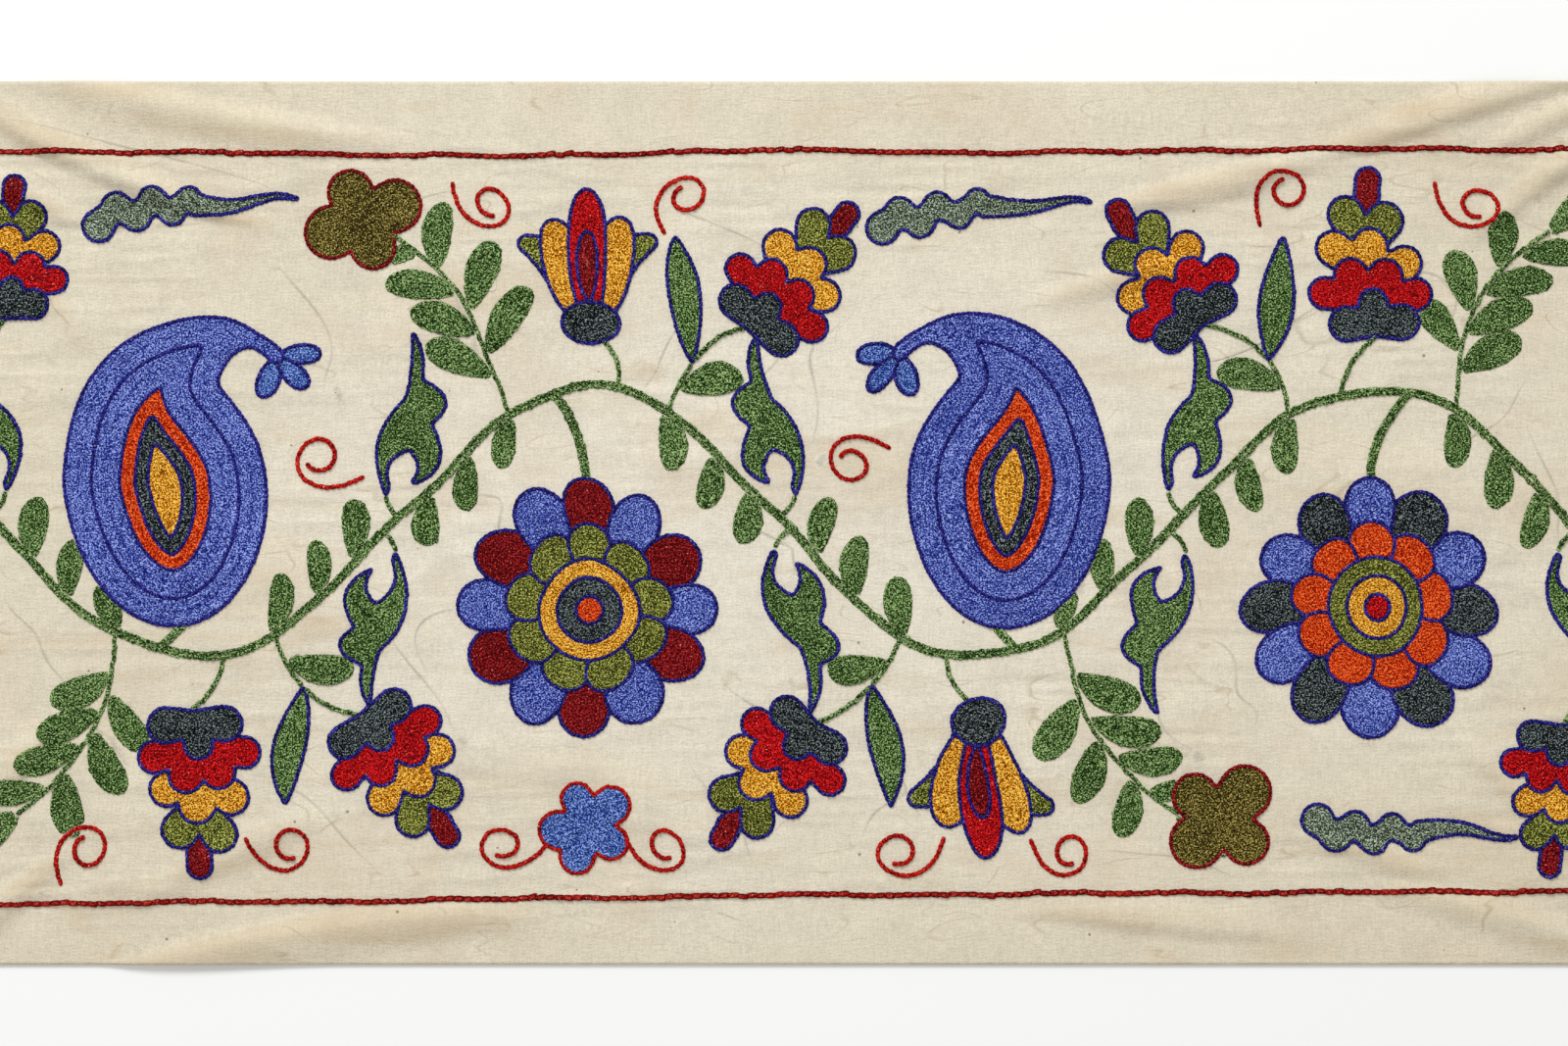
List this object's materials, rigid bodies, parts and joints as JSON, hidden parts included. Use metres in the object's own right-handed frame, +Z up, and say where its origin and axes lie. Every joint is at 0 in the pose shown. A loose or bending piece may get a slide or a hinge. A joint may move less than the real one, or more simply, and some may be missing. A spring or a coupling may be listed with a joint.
{
  "type": "embroidered suzani textile",
  "caption": "Cut length of unbleached cotton suzani cloth, laid face up with low tension folds and chain-stitch embroidery.",
  "frame": {"origin": "centre of the cloth's outline, on the level surface that the cloth lies on", "axes": "+X along the length of the cloth, +Y across it, towards the far long edge, +Z up out of the embroidered face"},
  "size_m": [0.84, 0.405, 0.0054],
  "materials": {
    "unbleached_cotton": "matt, plain weave, with glossy cotton thread worked over it"
  },
  "bodies": {
    "root": {"cloth_panel": "unbleached_cotton"}
  },
  "joints": []
}
